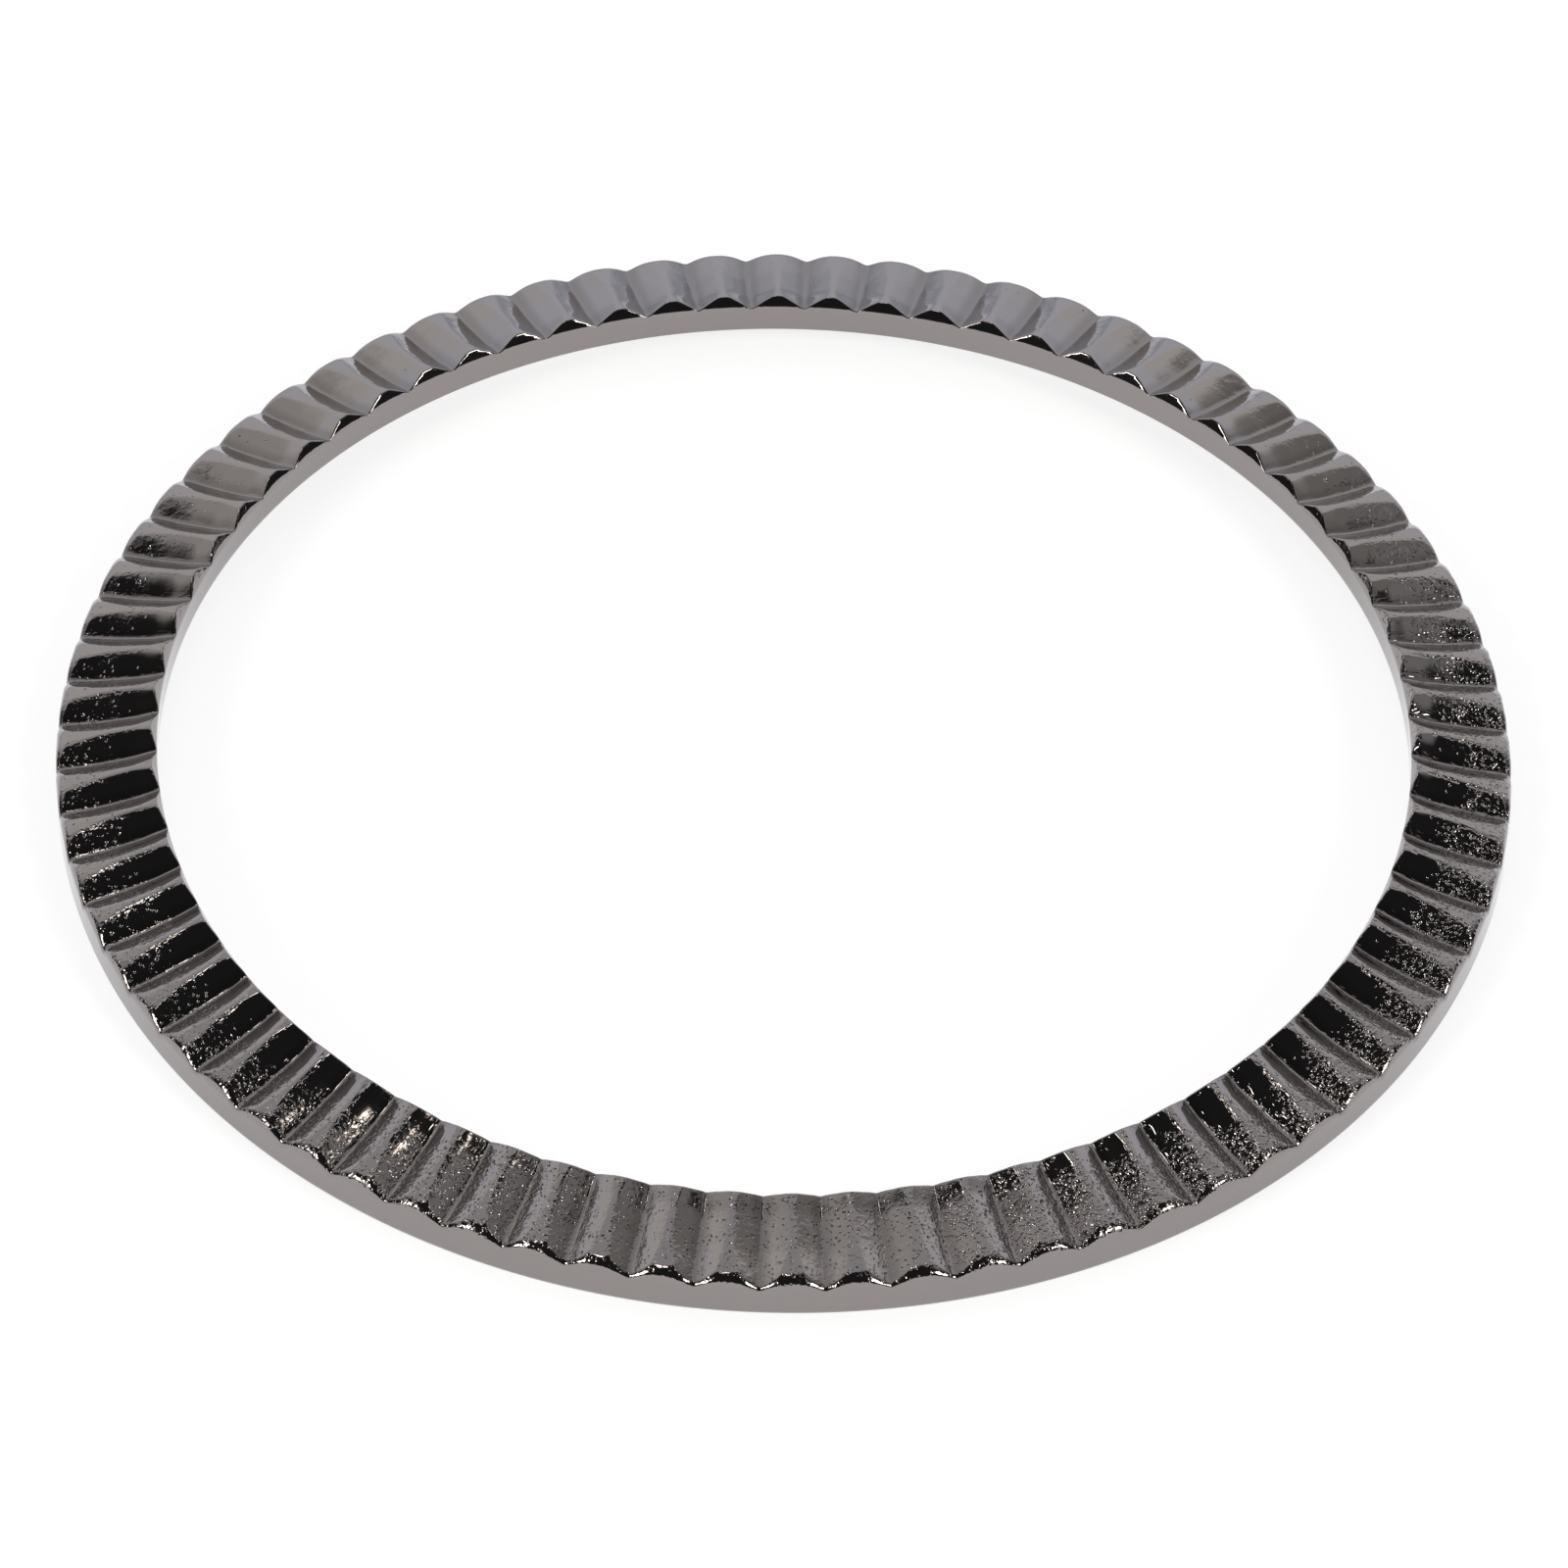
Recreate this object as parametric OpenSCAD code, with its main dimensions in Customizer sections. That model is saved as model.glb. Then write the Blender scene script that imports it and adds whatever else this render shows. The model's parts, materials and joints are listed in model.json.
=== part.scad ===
// A fluted bezel ring for a round watch case, in millimetres.
// It is one piece of plated metal. The ring lies on its underside: z = 0 is the face that meets
// the case, +Z points out of the watch, and the axis of the crystal is the Z axis.
// Seen in section, from the outside in: a plain upright skirt, a sloping face cut into flutes,
// a steep chamfer that trims the inner ends of the flutes, the bore that the crystal stands in,
// and below that bore a wider seat, open at the underside, that is pressed over the case's collar.

/* [Crystal and collar] */
// Diameter of the crystal that stands in the ring
crystal_d = 29.5; // [26:0.1:32]
// Gap between the crystal and the bore, all round
crystal_gap = 0.05; // [0.02:0.01:0.1]
// Width of the collar, with its gasket, that stands round the crystal and fills the seat
collar_w = 0.75; // [0.5:0.05:1]

/* [Ring] */
// Wall of the skirt, outside the seat
skirt_w = 1.7; // [1.3:0.05:2.2]
// Height of the skirt, up to the outer end of each flute bottom
skirt_h = 0.78; // [0.7:0.01:0.95]
// Depth of the seat, from the underside to the lip that covers the collar
seat_depth = 0.62; // [0.4:0.01:0.8]
// Width of the lead-in chamfer at the mouth of the seat
seat_lead_in = 0.08; // [0.04:0.01:0.15]

/* [Fluted face] */
// Number of flutes around the ring
flutes = 72; // [60:1:84]
// Direction of one flute bottom, in degrees from +X
flute_phase = 4.1; // [0:0.1:6]
// Slope of the flute bottoms, falling outwards, in degrees
valley_slope = 12.7; // [10:0.1:14]
// Slope of the flute crests, falling outwards, in degrees
crest_slope = 13.7; // [12:0.1:16]
// Height of the crests over the flute bottoms, at the outside
crest_lip = 0.27; // [0.2:0.01:0.3]
// Slope of each flute's two sides, in degrees from level
flute_side_slope = 25.5; // [22:0.5:30]

/* [Edges] */
// Radius of the round edge between the crests and the skirt
outer_round_r = 0.3; // [0.1:0.01:0.35]
// Width of the steep chamfer at the inner ends of the crests
inner_chamfer_w = 0.17; // [0.1:0.01:0.25]

/* [Hidden] */
// Facets of a full circle: four to each of 72 flutes
circle_facets = 288;
// Facets of the full circle that the outer round is part of
round_facets = 96;
// How far a cutter runs past the metal that it removes
cut_over = 0.5;

// Radii that follow from the crystal and from what stands round it
bore_r = crystal_d / 2 + crystal_gap;
seat_r = crystal_d / 2 + collar_w;
outer_r = seat_r + skirt_w;

// Height of the flute bottoms and of the crests at a radius
function valley_z(radius) = skirt_h + (outer_r - radius) * tan(valley_slope);
function crest_z(radius) = skirt_h + crest_lip + (outer_r - radius) * tan(crest_slope);

// The chamfer starts on the bore at the height of the flute bottoms, and ends on the crests
chamfer_top_r = bore_r + inner_chamfer_w;

// The round edge touches the upright skirt and the sloping crest line. Both tangent points lie
// this far from the corner where those two lines would meet.
corner_z = crest_z(outer_r);
round_tangent = outer_round_r / tan((90 + crest_slope) / 2);
round_start = [outer_r - round_tangent * cos(crest_slope), corner_z + round_tangent * sin(crest_slope)];
round_end = [outer_r, corner_z - round_tangent];
round_centre = [outer_r - outer_round_r, corner_z - round_tangent];

// A flute's cutter reaches above the highest crest, and past the bore and the skirt
cutter_h = crest_z(bore_r) - valley_z(bore_r) + cut_over;
cutter_half_w = cutter_h / tan(flute_side_slope);
cutter_length = (outer_r - bore_r) / cos(valley_slope) + 2 * cut_over;

// Section of the turned blank, before the flutes are cut
module blank_section() {
    polygon([
        [seat_r + seat_lead_in, 0],
        [outer_r, 0],
        round_end,
        round_start,
        [chamfer_top_r, crest_z(chamfer_top_r)],
        [bore_r, valley_z(bore_r)],
        [bore_r, seat_depth],
        [seat_r, seat_depth],
        [seat_r, seat_lead_in]
    ]);
    translate(round_centre) circle(r = outer_round_r, $fn = round_facets);
}

// One flute: a V with its bottom edge on the flute bottom's line, along the ring's radius
module flute_cutter() {
    translate([outer_r, 0, skirt_h])
        rotate([0, valley_slope, 0])
            translate([cut_over, 0, 0])
                rotate([0, -90, 0])
                    linear_extrude(height = cutter_length)
                        polygon([[0, 0], [cutter_h, cutter_half_w], [cutter_h, -cutter_half_w]]);
}

module bezel_ring() {
    color([0.54, 0.52, 0.51])
        difference() {
            rotate_extrude($fn = circle_facets) blank_section();
            for (i = [0 : flutes - 1])
                rotate([0, 0, flute_phase + i * 360 / flutes]) flute_cutter();
        }
}

bezel_ring();
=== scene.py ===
# %% [markdown]
# # A fluted bezel ring for a watch
#
# The object is one loose metal ring, most likely cast, under a dark, mirror-like plating. It lies
# face up on a white table. The construction model gives its size, its mounts and its flutes with
# sharp edges.
# This script dresses it: soft edges, the small faults of a casting, the plating, and the studio
# whose sweep and lamps the plating mirrors.

# %% Load the frame
import json
import math

import bpy
import numpy as np
from mathutils import Matrix, Vector


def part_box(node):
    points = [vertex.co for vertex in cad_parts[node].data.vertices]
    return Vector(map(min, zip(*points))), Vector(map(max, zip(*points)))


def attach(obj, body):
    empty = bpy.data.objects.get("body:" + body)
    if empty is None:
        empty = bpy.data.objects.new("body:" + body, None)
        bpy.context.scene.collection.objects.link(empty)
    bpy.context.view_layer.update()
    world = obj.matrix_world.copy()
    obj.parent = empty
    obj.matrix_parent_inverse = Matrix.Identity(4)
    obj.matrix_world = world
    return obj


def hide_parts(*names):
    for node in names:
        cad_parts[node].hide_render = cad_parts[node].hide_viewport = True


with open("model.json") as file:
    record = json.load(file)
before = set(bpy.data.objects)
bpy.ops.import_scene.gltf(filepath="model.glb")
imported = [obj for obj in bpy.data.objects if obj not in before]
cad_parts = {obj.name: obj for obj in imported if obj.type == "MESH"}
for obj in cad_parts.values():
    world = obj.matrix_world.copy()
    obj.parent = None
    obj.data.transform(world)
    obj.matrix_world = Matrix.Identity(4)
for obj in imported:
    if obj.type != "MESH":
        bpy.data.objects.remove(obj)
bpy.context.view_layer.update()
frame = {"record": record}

# %% [markdown]
# ## Sizes
#
# The frame is in metres, but a ring that is 1.6 mm high is easier to describe in millimetres. The
# two bores come from the record's mounts and the outside from the node's box. The skirt, the seat,
# the number and direction of the flutes and the mean slope of their sides repeat the named values of
# the construction model.
#
# The others are the scene's own. They were measured in the photograph after the construction model
# was finished, and their ring lies within 0.1 mm of it. The model's flutes have flat sides and
# straight bottoms. On the real ring a dark band beside each bottom is the mirror image of the flute's
# other side, which flat sides can't show: the sides are steep at their foot and bend over towards the
# crest. Seen in outline, the ends of the flutes are shallower than their middle, so the bottoms sag a
# little.

# %% Sizes in millimetres
MM = 0.001
mounts = {mount["name"]: mount for mount in frame["record"]["mounts"]}
ring_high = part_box("bezel_ring")[1]

outer_r = round(ring_high.x / MM, 2)
bore_r = mounts["crystal_bore"]["dims"]["r_mm"]
seat_r = mounts["case_seat"]["dims"]["r_mm"]

skirt_h = 0.78
seat_depth = 0.62
seat_lead_in = 0.08

flutes = 72
flute_phase = math.radians(4.1)
flute_pitch = 2 * math.pi / flutes
valley_slope = math.radians(13.2)
crest_slope = math.radians(14.0)
crest_lip = 0.26

# A side rises this much for each mm aside at its foot, and the bend takes some of that away again
flute_foot_rise = 0.75
flute_bend = 0.28

# Mean slope of a side, which only gives its field the right scale
flute_side_slope = math.radians(25.5)

# How deep the bottoms sag, and how far from the bore and from the skirt they do so in full
flute_belly = 0.065
belly_from_bore = 0.68
belly_from_skirt = 1.1

outer_round_r = 0.34
inner_chamfer_w = 0.155
print("outer radius", outer_r, "bore radius", bore_r, "seat radius", seat_r)

# %% [markdown]
# ## The camera
#
# The photograph was taken from about 45 degrees above, with a long lens, and the camera leaned a
# little to one side. The lens and the place were worked out from the ring's two ellipses and the
# directions of its flutes, so they are given here as they were measured.

# %% Camera
camera_distance = 0.26096
camera_elevation = math.radians(45.244)
camera_roll = math.radians(1.357)
camera_right_shift = 0.0009 * outer_r * MM
camera_up_shift = -0.0137 * outer_r * MM
sensor_width = 36.0
focal_length = 252.77

towards_camera = Vector((0, -math.cos(camera_elevation), math.sin(camera_elevation)))
level_right = Vector((1, 0, 0))
level_up = Vector((0, math.sin(camera_elevation), math.cos(camera_elevation)))
lean_right = level_right * math.cos(camera_roll) + level_up * math.sin(camera_roll)
lean_up = level_up * math.cos(camera_roll) - level_right * math.sin(camera_roll)

camera_data = bpy.data.cameras.new("camera")
camera_data.lens = focal_length
camera_data.sensor_width = sensor_width
camera_data.clip_start = 0.01
camera = bpy.data.objects.new("camera", camera_data)
camera_shift = level_right * camera_right_shift + level_up * camera_up_shift
camera_place = towards_camera * camera_distance + camera_shift
camera_axes = Matrix((lean_right, lean_up, towards_camera)).transposed()
camera.matrix_world = Matrix.Translation(camera_place) @ camera_axes.to_4x4()
bpy.context.scene.collection.objects.link(camera)
bpy.context.scene.camera = camera
print("camera at", tuple(round(value, 4) for value in camera_place))

# %% [markdown]
# ## Shader maths in plain Python
#
# A material is a tree of nodes. Wiring Math nodes by hand hides the sum that they make, so a small
# class wraps an output and gives it Python's operators. Every other node comes from one method
# that takes the node's type, its settings, and the values or links of its inputs.

# %% A wrapper for sockets
class Socket:
    """One output of a node. Sums on it add Math nodes to its tree."""

    def __init__(self, shader, socket):
        self.shader = shader
        self.socket = socket

    def maths(self, operation, *values):
        inputs = dict(enumerate(values))
        return self.shader.node("ShaderNodeMath", {"operation": operation}, inputs)

    def __add__(self, other):
        return self.maths("ADD", self, other)

    def __radd__(self, other):
        return self.maths("ADD", other, self)

    def __sub__(self, other):
        return self.maths("SUBTRACT", self, other)

    def __rsub__(self, other):
        return self.maths("SUBTRACT", other, self)

    def __mul__(self, other):
        return self.maths("MULTIPLY", self, other)

    def __rmul__(self, other):
        return self.maths("MULTIPLY", other, self)

    def __truediv__(self, other):
        return self.maths("DIVIDE", self, other)

    def __rtruediv__(self, other):
        return self.maths("DIVIDE", other, self)

    def __pow__(self, other):
        return self.maths("POWER", self, other)

    def __abs__(self):
        return self.maths("ABSOLUTE", self)

    def largest(self, other):
        return self.maths("MAXIMUM", self, other)

    def smallest(self, other):
        return self.maths("MINIMUM", self, other)

    def beside(self, name):
        """Another output of the same node."""
        return Socket(self.shader, self.socket.node.outputs[name])

    def ramp(self, start, end):
        """0 where this value is at start or before it, 1 from end on, with a smooth way between."""
        settings = {"interpolation_type": "SMOOTHSTEP"}
        inputs = {"Value": self, "From Min": start, "From Max": end}
        return self.shader.node("ShaderNodeMapRange", settings, inputs)


class Shader:
    """The node tree of a material or of the world."""

    def __init__(self, owner):
        owner.use_nodes = True
        self.tree = owner.node_tree
        self.tree.nodes.clear()

    def node(self, kind, settings=None, inputs=None, output=0):
        made = self.tree.nodes.new(kind)
        for name, value in (settings or {}).items():
            setattr(made, name, value)
        for name, value in (inputs or {}).items():
            if isinstance(value, Socket):
                self.tree.links.new(value.socket, made.inputs[name])
            else:
                made.inputs[name].default_value = value
        return Socket(self, made.outputs[output]) if made.outputs else None

    def mix_colour(self, factor, first, second):
        """The colour that lies factor of the way from first to second."""
        settings = {"data_type": "RGBA"}
        inputs = {0: factor, 6: first, 7: second}
        return self.node("ShaderNodeMix", settings, inputs, output=2)

    def mix_shader(self, factor, first, second):
        """The first shader where factor is 0, or no light if it is None, and the second at 1."""
        inputs = {0: factor, 2: second}
        if first is not None:
            inputs[1] = first
        return self.node("ShaderNodeMixShader", None, inputs)

    def parts(self, vector):
        """The three numbers of a vector."""
        split = self.node("ShaderNodeSeparateXYZ", None, {"Vector": vector})
        return split, split.beside("Y"), split.beside("Z")


print("sockets can be summed")

# %% [markdown]
# ## The studio
#
# A mirror has no look of its own: it shows the room. Where each flute turns from grey to black, and
# where its edges glint, says what stood around the ring. A picture of a room would be one way to get
# this, and lamps with softboxes another. Here a world shader paints the room by direction alone: it
# needs no file, and nothing stands in another view's way.

# %% Directions in the room
degrees = 180 / math.pi


def direction_of(azimuth, elevation):
    """Unit vector for two angles in degrees, where the azimuth runs from +X towards +Y."""
    level = math.cos(math.radians(elevation))
    return Vector((
        level * math.cos(math.radians(azimuth)),
        level * math.sin(math.radians(azimuth)),
        math.sin(math.radians(elevation)),
    ))


world = bpy.data.worlds.new("studio")
bpy.context.scene.world = world
room = Shader(world)
looking = room.node("ShaderNodeTexCoord")
east, north, rise = room.parts(looking)
back_turn = rise.maths("ARCTAN2", rise, north) * degrees


def lamp_spot(azimuth, elevation, radius, soft):
    """1 inside a round lamp and 0 outside it, with all angles in degrees."""
    settings = {"operation": "DOT_PRODUCT"}
    inputs = {0: looking, 1: direction_of(azimuth, elevation)}
    closeness = room.node("ShaderNodeVectorMath", settings, inputs, output="Value")
    away = closeness.maths("ARCCOSINE", closeness) * degrees
    return 1 - away.ramp(radius - soft, radius + soft)


print("towards the camera:", tuple(round(value, 3) for value in direction_of(-90, 45)))

# %% [markdown]
# A white sweep rises behind the ring and bends overhead as far as a straight edge, which is sharp on
# the right and soft on the left. Nearer to the camera than that edge the room is black, apart from a
# faint patch high on the right. The sweep is a little darker at its foot, at its top and on its right
# side. All of this was read from the flutes, each of which mirrors another strip of the room.

# %% The sweep
white = (1, 1, 1, 1)
sweep_level = 1.02
dark_level = 0.03

# The upper edge, in degrees of turn from level behind the ring: where it begins, where it ends in
# the middle, and how much sooner it ends on the right
sweep_edge_start = 76
sweep_edge_end = 88
sweep_edge_sharper_right = 11

# The sides, where 1 is straight to the right or to the left
sweep_sides = (0.78, 0.95)

# Where the sweep is darker, and the share of its light that is missing there
top_shade_turn = (42, 62)
top_shade = 0.27
right_shade_start = 0.35
right_shade_lean = 1.1
right_shade_edge = (-0.02, 0.2)
right_shade = 0.5
foot_shade_rise = (0, 0.28)
foot_shade = 0.26

# Bluish near the table, white in the middle, and slightly bluish overhead
foot_colour = (0.95, 1.0, 1.12, 1)
overhead_colour = (0.93, 0.955, 1.01, 1)
middle_rise = (0.28, 0.5)
overhead_rise = (0.65, 0.9)

# A faint patch of light in the dark part on the right
glow_level = 0.42
glow = lamp_spot(2, 50, 10, 4) * glow_level

edge_end = sweep_edge_end - east * sweep_edge_sharper_right
behind_edge = 1 - back_turn.ramp(sweep_edge_start, edge_end)
between_sides = 1 - abs(east).ramp(*sweep_sides)
not_top = 1 - back_turn.ramp(*top_shade_turn) * top_shade
from_right = north - (east - right_shade_start) * right_shade_lean
not_right = 1 - right_shade * (1 - from_right.ramp(*right_shade_edge))
not_foot = 1 - foot_shade * (1 - rise.ramp(*foot_shade_rise))
sweep_light = behind_edge * between_sides * not_top * not_right * not_foot * sweep_level
sweep_light = sweep_light.largest(glow) + dark_level
sweep_colour = room.mix_colour(rise.ramp(*middle_rise), foot_colour, white)
sweep_colour = room.mix_colour(rise.ramp(*overhead_rise), sweep_colour, overhead_colour)
sweep = room.node("ShaderNodeBackground", None, {"Color": sweep_colour, "Strength": sweep_light})
print("sweep from level to", sweep_edge_start, "degrees, light", sweep_level)

# %% [markdown]
# Two soft lamps stand at the camera's left and right. They draw the white lines on the ring's outer
# edge and most of the sparks in its pits. A small one hangs almost overhead, a little to the left.
# The camera itself sees none of this room but a white page, because the photograph is cut out.

# %% Lamps of the room
front_lamp_level = 13.0
right_front_lamp = lamp_spot(-32, 32, 10, 2)
left_front_lamp = lamp_spot(-148, 31, 10, 2)
top_lamp_level = 7.0
top_lamp = lamp_spot(175, 82, 4.5, 1.5)
room_lamp_colour = (1.0, 0.985, 0.95, 1)

lamp_light = (right_front_lamp + left_front_lamp) * front_lamp_level + top_lamp * top_lamp_level
lamp_inputs = {"Color": room_lamp_colour, "Strength": lamp_light}
lamps = room.node("ShaderNodeBackground", None, lamp_inputs)
mirrored_room = room.node("ShaderNodeAddShader", None, {0: sweep, 1: lamps})
white_page = room.node("ShaderNodeBackground", None, {"Color": white, "Strength": 1})
room_path = room.node("ShaderNodeLightPath")
page_or_room = room.mix_shader(room_path.beside("Is Camera Ray"), mirrored_room, white_page)
room.node("ShaderNodeOutputWorld", None, {"Surface": page_or_room})
print("world nodes:", len(room.tree.nodes))

# %% [markdown]
# One narrow warm lamp hangs above the ring's right, and a grid keeps its beam on the ring's lower
# left. It draws the bright streaks on the few flutes there, and none elsewhere. A spot in the world
# would shine on all flutes, so this one is a real lamp.

# %% Warm lamp
lamp_distance = 0.1
lamp_width = 0.018
lamp_height = 0.002
lamp_power = 0.000009
lamp_beam = math.radians(16)
lamp_colour = (1.0, 0.94, 0.86)
lamp_direction = direction_of(-17, 56)

# The place on the ring that the lamp is aimed at
lit_azimuth = 232
lit_radius = 15.4
lit_place = direction_of(lit_azimuth, 0) * lit_radius * MM

lamp_data = bpy.data.lights.new("warm_lamp", "AREA")
lamp_data.shape = "RECTANGLE"
lamp_data.size = lamp_width
lamp_data.size_y = lamp_height
lamp_data.energy = lamp_power
lamp_data.spread = lamp_beam
lamp_data.color = lamp_colour
lamp = bpy.data.objects.new("warm_lamp", lamp_data)
lamp.location = lit_place + lamp_direction * lamp_distance
lamp.visible_camera = False
lamp.rotation_euler = lamp_direction.to_track_quat("Z", "Y").to_euler()
bpy.context.scene.collection.objects.link(lamp)
print("warm lamp at", tuple(round(value, 4) for value in lamp.location))

# %% [markdown]
# The table is a plain white sheet. Most of its light is its own, and only the camera and mirror rays
# see that part. So it shows as white and the ring still leaves a soft shadow on it. The skirt and the
# bore say how bright the sheet was near the ring. The steep feet of the far flutes mirror it further
# back, and say that it lay in darker, bluer shade there. That shade is painted into the light that
# mirror rays see, so they see these two tones.

# %% Floor
floor_half = 1.5
floor_light_seen = 0.8
floor_colour_near = (0.9, 0.915, 0.95, 1)
# Painted shade: the light that mirror rays see on the sheet is darker and bluer further back
painted_floor_shade = (0.36, 0.39, 0.49, 1)
floor_far_start = 0.012
floor_far_end = 0.03

# The part of the sheet's light that comes from the room, and that the shadow takes away
floor_lit_colour = (0.3, 0.3, 0.3, 1)

floor_mesh = bpy.data.meshes.new("floor")
floor_signs = [(-1, -1), (1, -1), (1, 1), (-1, 1)]
floor_corners = [(floor_half * x, floor_half * y, 0) for x, y in floor_signs]
floor_mesh.from_pydata(floor_corners, [], [(0, 1, 2, 3)])
floor = bpy.data.objects.new("floor", floor_mesh)
bpy.context.scene.collection.objects.link(floor)

floor_material = bpy.data.materials.new("white_table")
table = Shader(floor_material)
table_path = table.node("ShaderNodeLightPath")
towards_sweep = table.parts(table.node("ShaderNodeTexCoord", None, None, "Object"))[1]
further_back = towards_sweep.ramp(floor_far_start, floor_far_end)
mirrored_colour = table.mix_colour(further_back, floor_colour_near, painted_floor_shade)
mirrored_light = table.node("ShaderNodeEmission", None, {"Color": mirrored_colour, "Strength": 1})
seen_inputs = {"Color": white, "Strength": floor_light_seen}
seen_light = table.node("ShaderNodeEmission", None, seen_inputs)
own_light = table.mix_shader(table_path.beside("Is Glossy Ray"), None, mirrored_light)
own_light = table.mix_shader(table_path.beside("Is Camera Ray"), own_light, seen_light)
lit_sheet = table.node("ShaderNodeBsdfDiffuse", None, {"Color": floor_lit_colour})
sheet = table.node("ShaderNodeAddShader", None, {0: own_light, 1: lit_sheet})
table.node("ShaderNodeOutputMaterial", None, {"Surface": sheet})
floor_mesh.materials.append(floor_material)
print("floor side in metres:", 2 * floor_half)

# %% [markdown]
# ## The ring as a field
#
# On the real ring no edge is sharp: the polish and the plating round them all. A bevel tool can't
# round 72 ridges that melt into a round edge, so the ring is described as a field instead. The field
# is below zero inside the metal and above zero outside, and each face of the ring is one simple term.
# The larger of two terms is a sharp edge between two faces. A soft version of it is a rounded edge.

# %% Soft edges between fields
def soft_max(first, second, width):
    """The larger of two fields, rounded where they are within width of each other."""
    overlap = np.maximum(width - np.abs(first - second), 0.0)
    return np.maximum(first, second) + overlap**2 / (4 * width)


def soft_min(first, second, width):
    """The smaller of two fields, rounded in the same way."""
    return -soft_max(-first, -second, width)


def soft_step(value, start, end):
    """0 up to start, 1 from end on, with a smooth way between."""
    part = np.clip((value - start) / (end - start), 0.0, 1.0)
    return part * part * (3 - 2 * part)


print("soft maximum of two equal fields:", soft_max(np.array(0.0), np.array(0.0), 0.1))

# %% [markdown]
# A cast ring isn't perfect. The flutes wander a little, some are deeper than others, and their faces
# are slightly wavy. A noise texture could bend the light for this, but a real wave also bends the
# outline. So the waves are part of the field. They come from tables of random numbers that are
# spread over the ring and blended smoothly between their cells.

# %% Waves on the casting
def waves(angle, radius, cells_around, cells_across, seed):
    """Smooth random values from -1 to 1, which join up after one turn of the ring."""
    values = np.random.default_rng(seed).uniform(-1, 1, (cells_around, cells_across + 2))
    around = angle / (2 * math.pi) * cells_around
    across = np.clip((radius - bore_r) / (outer_r - bore_r), 0, 1) * cells_across
    cell_around = np.floor(around).astype(int)
    cell_across = np.floor(across).astype(int)
    blend_around = soft_step(around - cell_around, 0, 1)
    blend_across = soft_step(across - cell_across, 0, 1)
    this_cell = cell_around % cells_around
    next_cell = (cell_around + 1) % cells_around

    def along(row):
        return values[this_cell, row] * (1 - blend_around) + values[next_cell, row] * blend_around

    return along(cell_across) * (1 - blend_across) + along(cell_across + 1) * blend_across


valley_wander_spread = 0.006
valley_depth_spread = 0.006
wander_random = np.random.default_rng(11)
valley_wander = wander_random.normal(0, valley_wander_spread, flutes)
valley_depth_fault = wander_random.normal(0, valley_depth_spread, flutes)

# Height in mm, cells around, cells across and seed
face_wave_height, face_wave_cells = 0.0022, (240, 5, 3)
rough_wave_height, rough_wave_cells = 0.004, (648, 11, 5)
print("furthest that a flute bottom wanders, in mm:", round(float(np.abs(valley_wander).max()), 3))

# %% [markdown]
# Each flute is a V that points at the ring's axis, with a small round in its bottom and sides that
# bend over towards the crest. A die or a cutter would make it in one straight stroke along the ring's
# radius, so it is measured in its own directions: aside from its middle line, and inwards along it.

# %% Field of one flute
valley_round_inside = 0.055
valley_round_outside = 0.085


def valley_round(radius):
    """How far from a flute's bottom its two sides begin to melt into each other."""
    growth = valley_round_outside - valley_round_inside
    return valley_round_inside + growth * soft_step(radius, bore_r, outer_r)


def bottom_height(radius, inwards):
    """Height of a flute's bottom: a straight line that sags between its two ends."""
    inner_end = soft_step(radius, bore_r, bore_r + belly_from_bore)
    outer_end = soft_step(radius, outer_r - belly_from_skirt, outer_r)
    sag = inner_end * (1 - outer_end)
    return skirt_h + inwards * math.tan(valley_slope) - flute_belly * sag


def side_rise(aside):
    """Height of a flute's side over its bottom, where the side has no round at its foot."""
    return flute_foot_rise * aside - flute_bend * aside**2


def crest_height(radius):
    """Height of the cone that cuts the ridges off."""
    return skirt_h + crest_lip + (outer_r - radius) * math.tan(crest_slope)


def flute_field(radius, angle, height, flute):
    """Field of one flute's two sides, where flute is its number."""
    index = flute.astype(int) % flutes
    turn = angle - flute_phase - flute * flute_pitch
    aside = radius * np.sin(turn) - valley_wander[index]
    inwards = outer_r - radius * np.cos(turn)
    valley_z = bottom_height(radius, inwards) - valley_depth_fault[index]
    above_valley = (height - valley_z) * math.cos(valley_slope)
    round_width = valley_round(radius)
    aside = np.sqrt(aside**2 + round_width**2) - round_width
    return (above_valley - side_rise(aside)) * math.cos(flute_side_slope)


print("a flute's side rises by", round(side_rise(0.5), 3), "mm over its first 0.5 mm")

# %% [markdown]
# Two neighbouring flutes meet in a ridge. The crest cone cuts the ridges, the skirt bounds them
# outside, and a steep chamfer trims their inner ends. Underneath, the seat and its lead-in chamfer
# are cut out. Each joint between two terms has its own width. The widest are at the outer edge,
# which a polishing wheel touches first.

# %% Field of the ring
ridge_round = 0.05
crest_edge_round = 0.02
outer_edge_round = 0.14
inner_edge_round = 0.04
small_edge_round = 0.03
bottom_edge_round = 0.06

# Distances from the bore and from the skirt between which the faces are rough
rough_from_bore = 0.6
rough_from_skirt = 0.4

# Distances from the skirt between which a crest's edge grows into the outer edge
edge_growth_start = 0.3
edge_growth_end = 0.02

crest_turn = math.pi / 2 - crest_slope
outer_tangent = outer_round_r * math.tan(crest_turn / 2)
outer_round_width = outer_tangent * math.sin(crest_turn)
valley_end_z = skirt_h + (outer_r - bore_r) * math.tan(valley_slope)
chamfer_top_r = bore_r + inner_chamfer_w
chamfer_rise = math.atan2(crest_height(chamfer_top_r) - valley_end_z, inner_chamfer_w)


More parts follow.
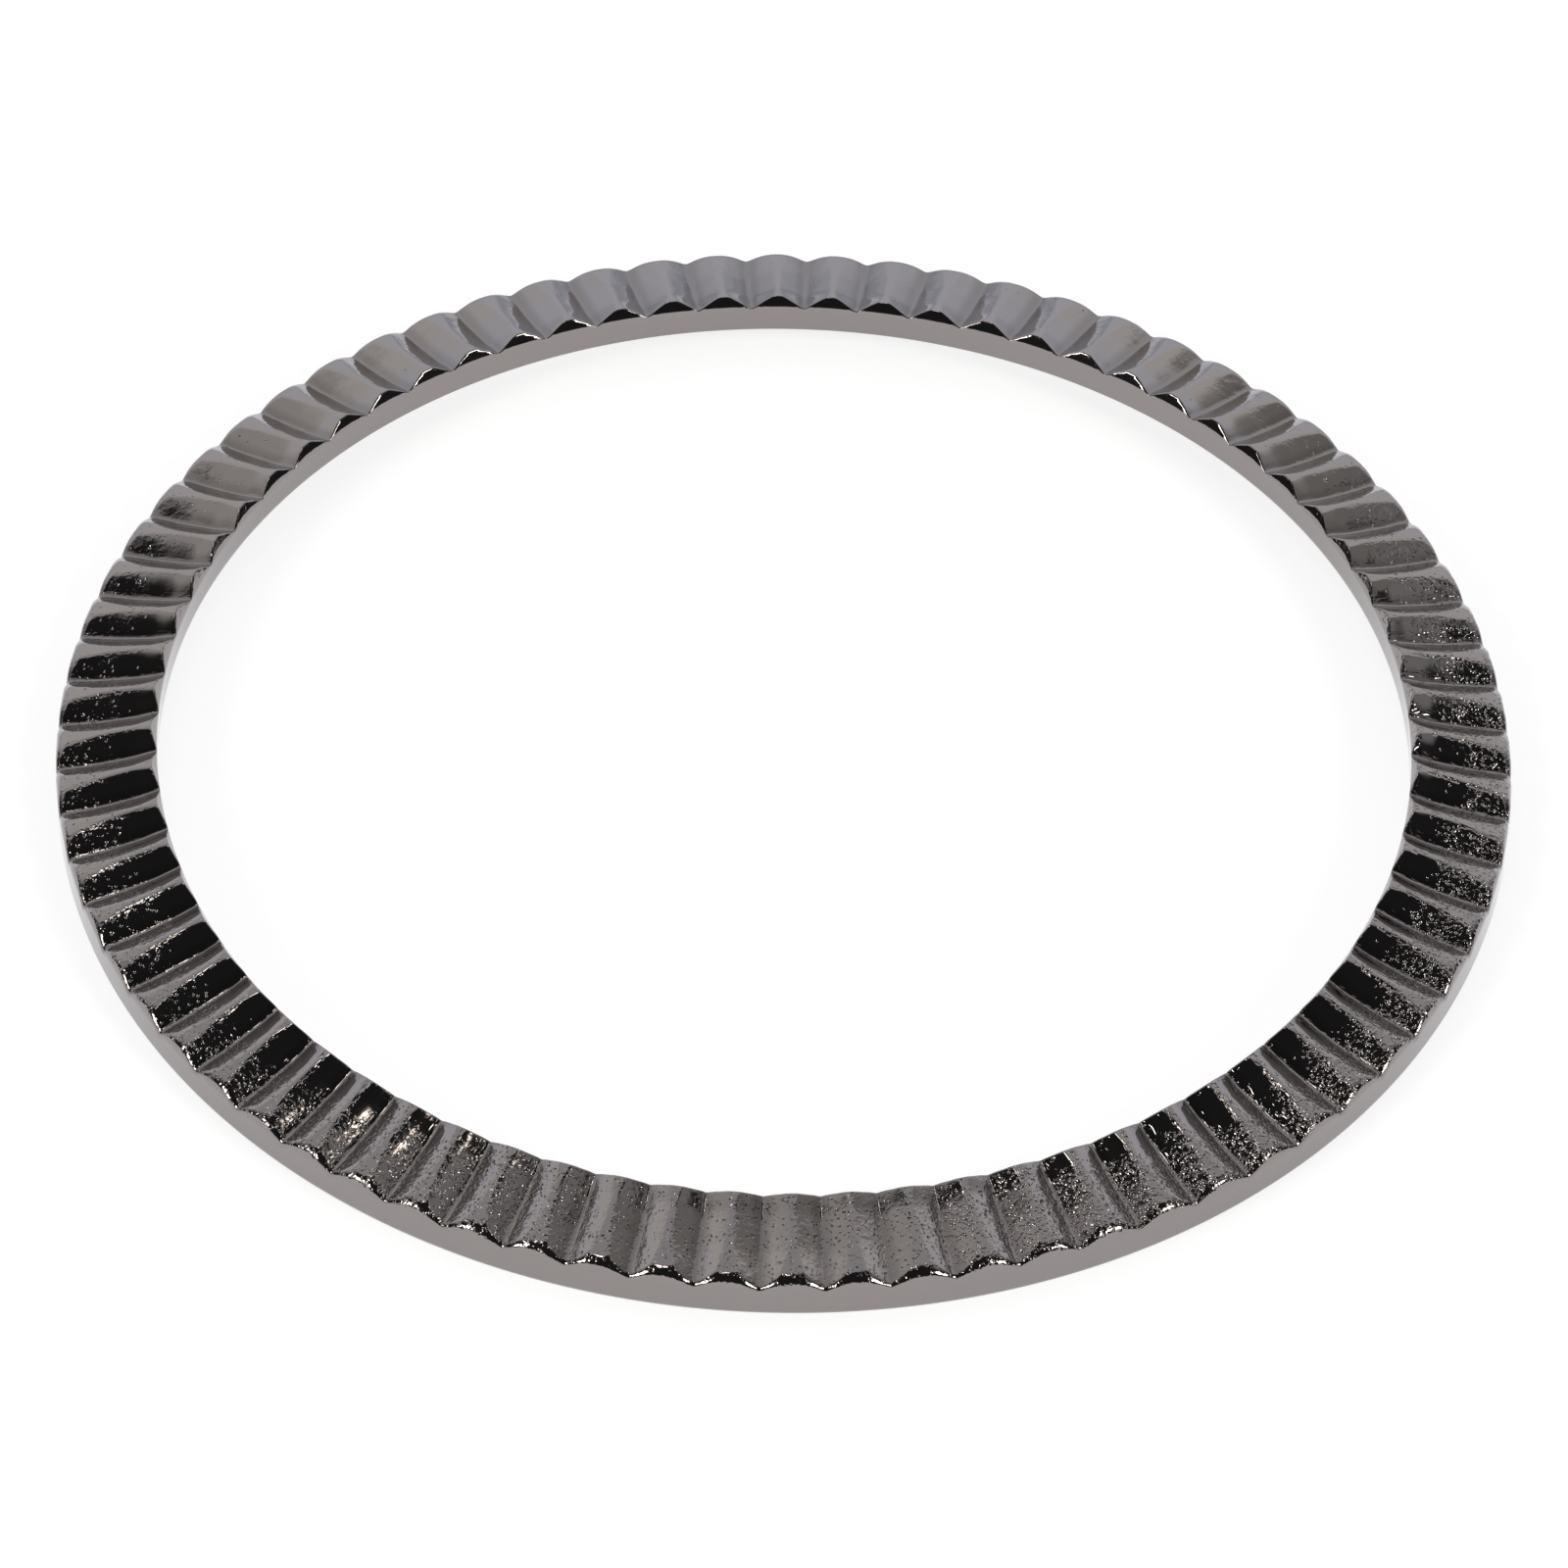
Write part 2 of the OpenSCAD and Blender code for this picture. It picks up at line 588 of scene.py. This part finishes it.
def fluted_field(radius, angle, height):
    """Field of all flutes, with the waves of the casting."""
    turn = (angle - flute_phase) / flute_pitch
    flute = np.round(turn)
    neighbour = flute + np.where(turn >= flute, 1, -1)
    this_flute = flute_field(radius, angle, height, flute)
    next_flute = flute_field(radius, angle, height, neighbour)
    fluted = soft_max(this_flute, next_flute, ridge_round)
    fluted = fluted + face_wave_height * (1 + waves(angle, radius, *face_wave_cells))
    roughness = soft_step(radius, bore_r + rough_from_bore, outer_r - rough_from_skirt)
    return fluted + roughness * rough_wave_height * (1 + waves(angle, radius, *rough_wave_cells))


def cavity_field(radius, height):
    """Field of what is left when the seat and its lead-in are cut out."""
    seat = soft_min(seat_r - radius, seat_depth - height, small_edge_round)
    lead_in = (seat_r + seat_lead_in - radius - height) * math.sqrt(0.5)
    lead_in = np.minimum(lead_in, seat_depth / 2 - height)
    return np.maximum(seat, lead_in)


def ring_field(x, y, height):
    """Below zero inside the metal, in mm, and above zero outside."""
    radius = np.hypot(x, y)
    angle = np.arctan2(y, x)
    crest = (height - crest_height(radius)) * math.cos(crest_slope)
    blank = soft_max(crest, radius - outer_r, outer_round_width)
    growth = soft_step(radius, outer_r - edge_growth_start, outer_r - edge_growth_end)
    edge_round = crest_edge_round + (outer_edge_round - crest_edge_round) * growth
    metal = soft_max(fluted_field(radius, angle, height), blank, edge_round)
    above_chamfer = (height - valley_end_z) * math.cos(chamfer_rise)
    chamfer = above_chamfer - (radius - bore_r) * math.sin(chamfer_rise)
    inner = soft_max(bore_r - radius, chamfer, small_edge_round)
    metal = soft_max(metal, inner, inner_edge_round)
    metal = soft_max(metal, -height, bottom_edge_round)
    return soft_max(metal, cavity_field(radius, height), small_edge_round)


in_skirt = ring_field(np.array((seat_r + outer_r) / 2), np.array(0.0), skirt_h / 2)
print("field in the middle of the skirt:", round(float(in_skirt), 3))

# %% [markdown]
# ## From the field to a mesh
#
# A general meshing tool would lay an even grid over the field and blunt its edges. The ring's section
# is known, so its mesh follows it: columns run round the ring, and rows run round its section. The
# columns crowd in the valleys and along the crest edges, and the rows crowd along the zigzag edge, so
# that no small faces are wasted on the flat parts.

# %% Columns: one flute, repeated
# Shares of the way from a flute's bottom to the crest's edge, and from there to the crest's middle
side_steps = [0, 0.03, 0.08, 0.17, 0.33, 0.5, 0.67, 0.82, 0.92]
crest_steps = [0, 0.45]
least_crest_half_w = 0.03


def valley_height(radius, turn):
    """Height of a flute's sharp side at an angle from the flute's bottom."""
    rise = side_rise(radius * np.abs(np.sin(turn)))
    valley_z = bottom_height(radius, outer_r - radius * np.cos(turn))
    return valley_z + rise / math.cos(valley_slope)


def side_reach(depth):
    """How far aside a flute's side has risen by depth: side_rise the other way round."""
    root = np.sqrt(flute_foot_rise**2 - 4 * flute_bend * depth)
    return (flute_foot_rise - root) / (2 * flute_bend)


def column_turns(radius):
    """Angles of the columns from a flute's bottom to the next one's, at each radius."""
    half_turn = flute_pitch / 2
    half_w = radius * math.tan(half_turn)
    depth = (crest_height(radius) - valley_height(radius, 0)) * math.cos(valley_slope)
    reach = side_reach(depth)
    side_w = np.sqrt(reach**2 + 2 * reach * valley_round(radius))
    side_w = np.minimum(side_w, half_w - least_crest_half_w)
    edge_turn = side_w / half_w * half_turn
    turns = [edge_turn * step for step in side_steps]
    turns += [edge_turn + (half_turn - edge_turn) * step for step in crest_steps]
    turns += [half_turn + 0 * edge_turn]
    mirrored = [2 * half_turn - turn for turn in turns[-2:0:-1]]
    return np.stack(turns + mirrored)


columns_per_flute = len(column_turns(np.array(outer_r)))
columns = columns_per_flute * flutes
print("columns:", columns, "of which in one flute:", columns_per_flute)

# %% [markdown]
# A row starts as a point on the sharp section, and a second point inside the metal goes with it. The
# outside is one line, up the skirt and round the outer edge, and each flute cuts it at its own
# height. The steps below say how far along its way each row lies.

# %% Rows: steps and the outside line
outside_steps = [0, 0.25, 0.45, 0.56, 0.64, 0.71, 0.77, 0.83, 0.88, 0.92, 0.95, 0.975, 0.99]
face_steps = [0, 0.008, 0.018, 0.033, 0.055, 0.09, 0.14, 0.2, 0.27, 0.34, 0.41, 0.48, 0.55, 0.62]
face_steps += [0.69, 0.76, 0.82, 0.87, 0.91, 0.94, 0.962, 0.978, 0.99]
chamfer_steps = [0, 0.04, 0.12, 0.3, 0.55, 0.78, 0.92]
bore_steps = [0, 0.12, 0.5, 0.88]

line_points = 60
skirt_start_z = 0.08
skirt_end_z = crest_height(outer_r) - outer_tangent
arc_turns = np.linspace(0, crest_turn, line_points)
arc_r = outer_r - outer_round_r + outer_round_r * np.cos(arc_turns)
arc_z = skirt_end_z + outer_round_r * np.sin(arc_turns)
skirt_z = np.linspace(skirt_start_z, skirt_end_z, line_points)
outside_r = np.concatenate([np.full(line_points, outer_r), arc_r[1:]])
outside_z = np.concatenate([skirt_z, arc_z[1:]])
outside_lengths = np.hypot(np.diff(outside_r), np.diff(outside_z))
outside_run = np.concatenate([[0], np.cumsum(outside_lengths)])
print("length of the outside line in mm:", round(float(outside_run[-1]), 3))

# %% [markdown]
# The seat and the underside are the same all round, so their rows are a plain table. Each corner has
# one row just before it and one just after it, which keeps its round small. The round at the foot of
# the skirt has one more.

# %% Rows: the hidden side
inside_reach = 0.45
face_core_z = 0.72
lip_core = (bore_r + inside_reach, 0.95)
wall_core = (seat_r + 0.5, 0.35)
foot_core = (outer_r - inside_reach, 0.35)

lip_gap = 0.02
ceiling_gap = 0.03
lead_in_gap = 0.015

# Radius and height on the section, then radius and height of the point inside the metal
hidden_rows = [
    (bore_r, seat_depth + lip_gap, *lip_core),
    (bore_r + lip_gap, seat_depth, *lip_core),
    (bore_r + 0.35, seat_depth, *lip_core),
    (seat_r - ceiling_gap, seat_depth, seat_r + 0.1, 0.95),
    (seat_r, seat_depth - ceiling_gap, seat_r + 0.3, 0.7),
    (seat_r, seat_lead_in + 0.2, seat_r + 0.5, 0.4),
    (seat_r, seat_lead_in + lead_in_gap, *wall_core),
    (seat_r + lead_in_gap, seat_lead_in - lead_in_gap, *wall_core),
    (seat_r + seat_lead_in - lead_in_gap, lead_in_gap, *wall_core),
    (seat_r + seat_lead_in + lead_in_gap, 0, *wall_core),
    (seat_r + 0.8, 0, seat_r + 0.8, 0.35),
    (outer_r - 0.07, 0, *foot_core),
    (outer_r - 0.01, 0.01, *foot_core),
]
print("rows of the hidden side:", len(hidden_rows))

# %% [markdown]
# The rows of the visible side follow the flutes: up to the zigzag edge, in over the face, down the
# chamfer and down the bore.

# %% Rows round the section
trim_points = 80

# The chamfer's rows come in to the bore over this share of their way, and end this far under the
# flute bottoms
chamfer_share = 0.8
foot_drop = 0.05

# The bore's rows end this far above the lip's lower edge
bore_end_gap = 0.03


def face_height(radius, turn):
    """Height of the fluted face: the lower one of flute side and crest."""
    return np.minimum(valley_height(radius, turn), crest_height(radius))


def zigzag_run(turn):
    """How far up the outside a flute's side cuts it, for each column's angle."""
    kept = outside_z[:, None] < valley_height(outside_r[:, None], turn[None, :])
    return outside_run[kept.sum(axis=0) - 1]


def trim_radius(turn):
    """Radius where the chamfer cuts each column."""
    radii = np.linspace(bore_r, chamfer_top_r, trim_points)[:, None]
    chamfer_z = valley_end_z + (radii - bore_r) * math.tan(chamfer_rise)
    kept = chamfer_z < face_height(radii, turn[None, :])
    return radii[np.minimum(kept.sum(axis=0), trim_points - 1), 0]


def from_nearest_bottom(turns):
    """Angles from the nearer one of the two flute bottoms."""
    return np.minimum(turns, flute_pitch - turns)


def section_rows():
    """Points on the sharp section and inside it, for the columns of one flute, row by row."""
    rows = []
    ones = np.ones(columns_per_flute)

    def add(radius, height, inside_r, inside_z):
        rows.append([radius * ones, height * ones, inside_r * ones, inside_z * ones])

    edge_run = zigzag_run(from_nearest_bottom(column_turns(np.array(outer_r))))
    for step in outside_steps:
        radius = np.interp(edge_run * step, outside_run, outside_r)
        height = np.interp(edge_run * step, outside_run, outside_z)
        add(radius, height, outer_r - inside_reach, np.minimum(height, face_core_z))

    edge_r = np.interp(edge_run, outside_run, outside_r)
    inner_edge_r = trim_radius(from_nearest_bottom(column_turns(np.array(bore_r))))
    for step in face_steps:
        radius = edge_r + (inner_edge_r - edge_r) * step
        turns = np.array([column_turns(np.array(r))[i] for i, r in enumerate(radius)])
        height = face_height(radius, from_nearest_bottom(turns))
        inside_r = np.clip(radius, bore_r + inside_reach, outer_r - inside_reach)
        add(radius, height, inside_r, face_core_z)

    foot_z = valley_end_z - foot_drop
    top_z = valley_end_z + (inner_edge_r - bore_r) * math.tan(chamfer_rise)
    for step in chamfer_steps:
        radius = inner_edge_r + (bore_r - inner_edge_r) * np.minimum(step / chamfer_share, 1)
        add(radius, top_z + (foot_z - top_z) * step, bore_r + inside_reach, face_core_z)
    for step in bore_steps:
        add(bore_r, foot_z + (seat_depth + bore_end_gap - foot_z) * step, *lip_core)
    for row in hidden_rows:
        add(*row)
    return np.array(rows)


sharp_rows = section_rows()
row_count = len(sharp_rows)
print("rows:", row_count, "faces:", row_count * columns, "triangles:", 2 * row_count * columns)

# %% [markdown]
# The line from a row's inside point through its sharp point crosses the rounded surface once, a
# little before the sharp point or a little beyond it. Halving that line again and again finds the
# crossing, to far less than a thousandth of a millimetre. All rows and columns are halved at once.

# %% Find the surface
search_reach = 1.08
halvings = 26


def surface_points():
    """Places of all vertices in mm, as an array of rows by columns by 3."""
    sharp_r, sharp_z, inside_r, inside_z = np.moveaxis(sharp_rows, 1, 0)
    turns = np.empty((row_count, columns_per_flute))
    for column in range(columns_per_flute):
        turns[:, column] = column_turns(sharp_r[:, column])[column]
    flute_angles = flute_phase + np.arange(flutes) * flute_pitch
    angles = (flute_angles[None, :, None] + turns[:, None, :]).reshape(row_count, columns)

    def all_round(values):
        return np.tile(values, (1, flutes))

    sharp_r, sharp_z = all_round(sharp_r), all_round(sharp_z)
    inside_r, inside_z = all_round(inside_r), all_round(inside_z)
    cosine, sine = np.cos(angles), np.sin(angles)

    def place(part):
        radius = inside_r + (sharp_r - inside_r) * part
        height = inside_z + (sharp_z - inside_z) * part
        return radius * cosine, radius * sine, height

    low = np.zeros_like(sharp_r)
    high = np.full_like(sharp_r, search_reach)
    for _ in range(halvings):
        middle = (low + high) / 2
        outside = ring_field(*place(middle)) > 0
        high = np.where(outside, middle, high)
        low = np.where(outside, low, middle)
    return np.stack(place(low), axis=-1)


points = surface_points()
print("lowest and highest in mm:", points[..., 2].min().round(4), points[..., 2].max().round(4))

# %% [markdown]
# The field also gives the exact direction in which each point faces. With those directions set on the
# mesh, a flat face mirrors the room without bends, however few faces it has.

# %% Build the mesh
def field_directions(places):
    """Unit vectors that point out of the metal, from the field's values a short step away."""
    step = 0.002
    slopes = []
    for axis in range(3):
        shift = np.zeros(3)
        shift[axis] = step
        ahead = ring_field(*np.moveaxis(places + shift, -1, 0))
        behind = ring_field(*np.moveaxis(places - shift, -1, 0))
        slopes.append(ahead - behind)
    slopes = np.stack(slopes, axis=-1)
    return slopes / np.linalg.norm(slopes, axis=-1, keepdims=True)


def closed_grid(row_total, column_total):
    """Faces of a grid that closes in both directions, like a tube bent into a ring."""
    row, column = np.meshgrid(np.arange(row_total), np.arange(column_total), indexing="ij")
    next_row = (row + 1) % row_total
    next_column = (column + 1) % column_total
    corners = [(row, column), (row, next_column), (next_row, next_column), (next_row, column)]
    return np.stack([r * column_total + c for r, c in corners], axis=-1).reshape(-1, 4)


ring_vertices = (points.reshape(-1, 3) * MM).tolist()
ring_faces = closed_grid(row_count, columns).tolist()
ring_directions = field_directions(points).reshape(-1, 3).tolist()
ring_mesh = bpy.data.meshes.new("plated_ring")
ring_mesh.from_pydata(ring_vertices, [], ring_faces)
ring_mesh.polygons.foreach_set("use_smooth", np.ones(len(ring_mesh.polygons), bool))
ring_mesh.normals_split_custom_set_from_vertices(ring_directions)
ring = bpy.data.objects.new("plated_ring", ring_mesh)
bpy.context.scene.collection.objects.link(ring)
print("vertices:", len(ring_mesh.vertices), "faces:", len(ring_mesh.polygons))

# %% [markdown]
# ## The plating
#
# Black nickel on a cast ring is a mirror of a warm dark grey. Where the casting was rough, small pits
# show through it, and each pit catches a lamp or the black above. They lie mostly on the outer half
# of the flutes, more of them on the right than on the left, and hardly any at the back. At the front
# they spread over the whole flute. The material is laid out in the ring's own directions: how far
# out, how far round, and how far from the bottom of the nearest flute.

# %% Where things are on the ring
plating = bpy.data.materials.new("gunmetal_plating")
metal = Shader(plating)

coordinates = metal.node("ShaderNodeTexCoord", None, None, "Object")
scaled = {0: coordinates, "Scale": 1 / MM}
place_mm = metal.node("ShaderNodeVectorMath", {"operation": "SCALE"}, scaled)
x_mm, y_mm, z_mm = metal.parts(place_mm)
radius_mm = (x_mm * x_mm + y_mm * y_mm) ** 0.5
ring_turn = x_mm.maths("ARCTAN2", y_mm, x_mm)
around_mm = ring_turn * outer_r
outwards = (radius_mm - bore_r) / (outer_r - bore_r)
eastward = x_mm / radius_mm
northward = y_mm / radius_mm
southward = (northward * -1).largest(0)

# The flutes face upwards, and the skirt and the bore don't
facing_up = (0.3, 0.6)
on_flutes = metal.parts(coordinates.beside("Normal"))[2].ramp(*facing_up)

# Distances from a flute's bottom, where 1 is the next flute's bottom. The crests widen outwards, so
# their edges drift towards the flute's bottom with each mm.
crest_edge_start = 0.479
crest_edge_drift = 0.055
crest_edge_zone = (0.01, 0.05)
bottom_zone = (0.06, 0.22)

# Distances in mm from the inner ends of the crests
inner_edge_zone = (0.02, 0.12)

flute_turn = (ring_turn - flute_phase) / flute_pitch
from_bottom = abs(flute_turn - flute_turn.maths("ROUND", flute_turn))
from_inner_edge = radius_mm - chamfer_top_r
crest_edge = crest_edge_start - from_inner_edge * crest_edge_drift
near_crest_edge = 1 - abs(from_bottom - crest_edge).ramp(*crest_edge_zone)
near_bottom = 1 - from_bottom.ramp(*bottom_zone)
near_inner_edge = 1 - from_inner_edge.ramp(*inner_edge_zone)
print("nodes for places:", len(metal.tree.nodes))

# %% [markdown]
# A pit is a small bowl. A Voronoi texture gives the distance to the middle of the nearest cell, which
# makes a bowl, and a random colour for each cell, which says whether the cell has one. A plain noise
# would make soft hills instead, and they don't sparkle.

# %% Pits of the casting
pit_onset = 0.05


def noise(vector, scale, detail=2.0):
    """Smooth random values round 0.5, where scale is the number of cells in one unit."""
    inputs = {"Vector": vector, "Scale": scale, "Detail": detail}
    return metal.node("ShaderNodeTexNoise", None, inputs)


def pits(cell_mm, share, reach):
    """Bowls from 0 to 1 deep, where share is the part of the cells that has one."""
    inputs = {"Vector": place_mm, "Scale": 1 / cell_mm, "Randomness": 1.0}
    cells = metal.node("ShaderNodeTexVoronoi", None, inputs)
    chance = metal.parts(cells.beside("Color"))[0]
    has_pit = (share - chance).ramp(0, pit_onset)
    across = cells / reach
    return has_pit * (1 - across * across).largest(0)


# Share of the cells with a pit, in the pitted zone
pits_anywhere = 0.62
pits_more_east = 0.3
pits_more_south = 0.17
back_zone, pits_fewer_back = (-0.1, 0.8), 0.93
front_zone, pits_fewer_front = (0.88, 1.0), 0.3

# The zone starts this far out, wanders with a slow noise, and reaches further in near the front
zone_start = (0.28, 0.58)
zone_wander, zone_wander_scale = 0.9, 0.9
reach_zone, zone_reach = (0.75, 0.97), 0.3

# Size of a cell in mm, share of the cells with a pit, and reach of a pit in cells
fine_pit_cell, fine_pit_part, fine_pit_reach = 0.1, 0.8, 0.36
coarse_pit_cell, coarse_pit_part, coarse_pit_reach = 0.16, 0.36, 0.32
stray_pit_cell, stray_pit_part, stray_pit_reach = 0.22, 0.12, 0.15

# Share of the cells with a coarse pit along the crest edges, and of that along the inner edge
edge_pit_part = 0.3
inner_edge_part = 0.35

coverage = pits_anywhere + eastward * pits_more_east + southward * pits_more_south
coverage = coverage * (1 - northward.ramp(*back_zone) * pits_fewer_back)
coverage = coverage - southward.ramp(*front_zone) * pits_fewer_front
patches = noise(place_mm, zone_wander_scale)
zone_front = southward.ramp(*reach_zone) * zone_reach
pit_zone = (outwards + zone_front + (patches - 0.5) * zone_wander).ramp(*zone_start) * on_flutes
pit_share = pit_zone * coverage
edge_share = near_crest_edge.largest(near_inner_edge * inner_edge_part) * on_flutes * coverage

fine_pits = pits(fine_pit_cell, pit_share * fine_pit_part, fine_pit_reach)
coarse_share = pit_share * coarse_pit_part + edge_share * edge_pit_part
coarse_pits = pits(coarse_pit_cell, coarse_share, coarse_pit_reach)
stray_pits = pits(stray_pit_cell, on_flutes * stray_pit_part, stray_pit_reach)
print("nodes with the pits:", len(metal.tree.nodes))

# %% [markdown]
# The bench work left fine scratches that run along the flutes, deepest in their bottoms, and the
# polish left the faces slightly wavy. The crest edges are nibbled. Each mark is less than 0.02 mm
# high or deep, too small for the mesh, so all of them go into the bump. The heights are in mm.

# %% Relief too fine for the mesh
fine_pit_depth = 0.011
coarse_pit_depth = 0.016
stray_pit_depth = 0.008
bite_depth = 0.014
crumb_height = 0.008
stroke_depth = 0.006
streak_in_bottom, streak_elsewhere = 0.0034, 0.0004
mottle_in_zone, mottle_elsewhere = 0.004, 0.0006
ripple_height = 0.0025

# Cells in a mm: around, outwards and up for the marks along the flutes, and one number for the rest
streak_scales = (9, 1.2, 0.5)
stroke_scales = (12, 3.5, 1)
ripple_scale = 2.5
mottle_scale = 5.5
bite_scale, bite_range = 6.5, (0.5, 0.62)
crumb_scale, crumb_range = 11.0, (0.5, 0.72)
stroke_range = (0.55, 0.7)

# At the very front all marks are shallower by this share
shallow_zone, shallow_share = (0.93, 1.0), 0.5


def along_flutes(around_scale, out_scale, up_scale):
    """Places for a noise that is drawn out along the flutes."""
    inputs = {"X": around_mm * around_scale, "Y": radius_mm * out_scale, "Z": z_mm * up_scale}
    return metal.node("ShaderNodeCombineXYZ", None, inputs)


streaks = noise(along_flutes(*streak_scales), 1.0)
strokes = noise(along_flutes(*stroke_scales), 1.0, 1.0).ramp(*stroke_range)
ripple = noise(place_mm, ripple_scale, 1.0)
mottle = noise(place_mm, mottle_scale, 1.0)
bites = noise(place_mm, bite_scale, 1.0).ramp(*bite_range)
crumbs = noise(place_mm, crumb_scale, 1.0).ramp(*crumb_range)

depth_mm = fine_pits * fine_pit_depth + coarse_pits * coarse_pit_depth
depth_mm = depth_mm + stray_pits * stray_pit_depth
depth_mm = depth_mm + bites * edge_share * bite_depth - crumbs * pit_share * crumb_height
stroke_zone = (near_bottom + near_crest_edge).smallest(1)
depth_mm = depth_mm + strokes * stroke_zone * coverage * on_flutes * stroke_depth
depth_mm = depth_mm * (1 - southward.ramp(*shallow_zone) * shallow_share)
streak_height = (near_bottom * streak_in_bottom + streak_elsewhere) * on_flutes
mottle_height = (pit_zone * mottle_in_zone + mottle_elsewhere) * on_flutes
height_mm = streaks * streak_height + mottle * mottle_height
height_mm = height_mm + ripple * on_flutes * ripple_height - depth_mm
bump_inputs = {"Strength": 1.0, "Distance": MM, "Height": height_mm}
bump = metal.node("ShaderNodeBump", None, bump_inputs)
print("nodes with the relief:", len(metal.tree.nodes))

# %% [markdown]
# The colour is the one that the record gives for the plating, a warm dark grey. A metal's colour is
# the tint of its mirror image, and the shader itself makes that image brighter where the look is
# flat. The plating is a little rougher where the casting was. In the pits and in the bottoms of the
# flutes its colour is darker: painted shade that stands in for the shade in these hollows.

# %% Plating material
base_colour = tuple(frame["record"]["materials"][0]["base_color"]) + (1,)
# Painted shade: a darker colour in the pits and in the flute bottoms, for the shade in these hollows
painted_shade_share = 0.45
painted_shade_colour = tuple(painted_shade_share * part for part in base_colour[:3]) + (1,)
painted_shade_in_pits = 0.8
painted_shade_in_bottoms = 0.4

plain_roughness = 0.08
zone_roughness = 0.02
pit_roughness = 0.07
patch_roughness = 0.03

pitted = (fine_pits + coarse_pits).smallest(1.0)
roughness = plain_roughness + pit_share * zone_roughness + pitted * pit_roughness
roughness = roughness + (patches - 0.5) * patch_roughness
# How strongly the painted shade darkens the colour, in the pits and in the flute bottoms
painted_shade = (pitted * painted_shade_in_pits).largest(near_bottom * on_flutes * painted_shade_in_bottoms)
plated_inputs = {
    "Base Color": metal.mix_colour(painted_shade, base_colour, painted_shade_colour),
    "Metallic": 1.0,
    "Roughness": roughness,
    "Normal": bump,
}
plated = metal.node("ShaderNodeBsdfPrincipled", None, plated_inputs)
metal.node("ShaderNodeOutputMaterial", None, {"Surface": plated})
ring_mesh.materials.append(plating)
print("plating nodes:", len(metal.tree.nodes))

# %% [markdown]
# ## Hand over
#
# The dressed ring stands for the construction model's ring and moves with its only body. The view
# transform is the plain one, so that colours come out as they were worked out above.

# %% Hand over
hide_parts("bezel_ring")
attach(ring, "root")
bpy.context.scene.view_settings.view_transform = "Standard"
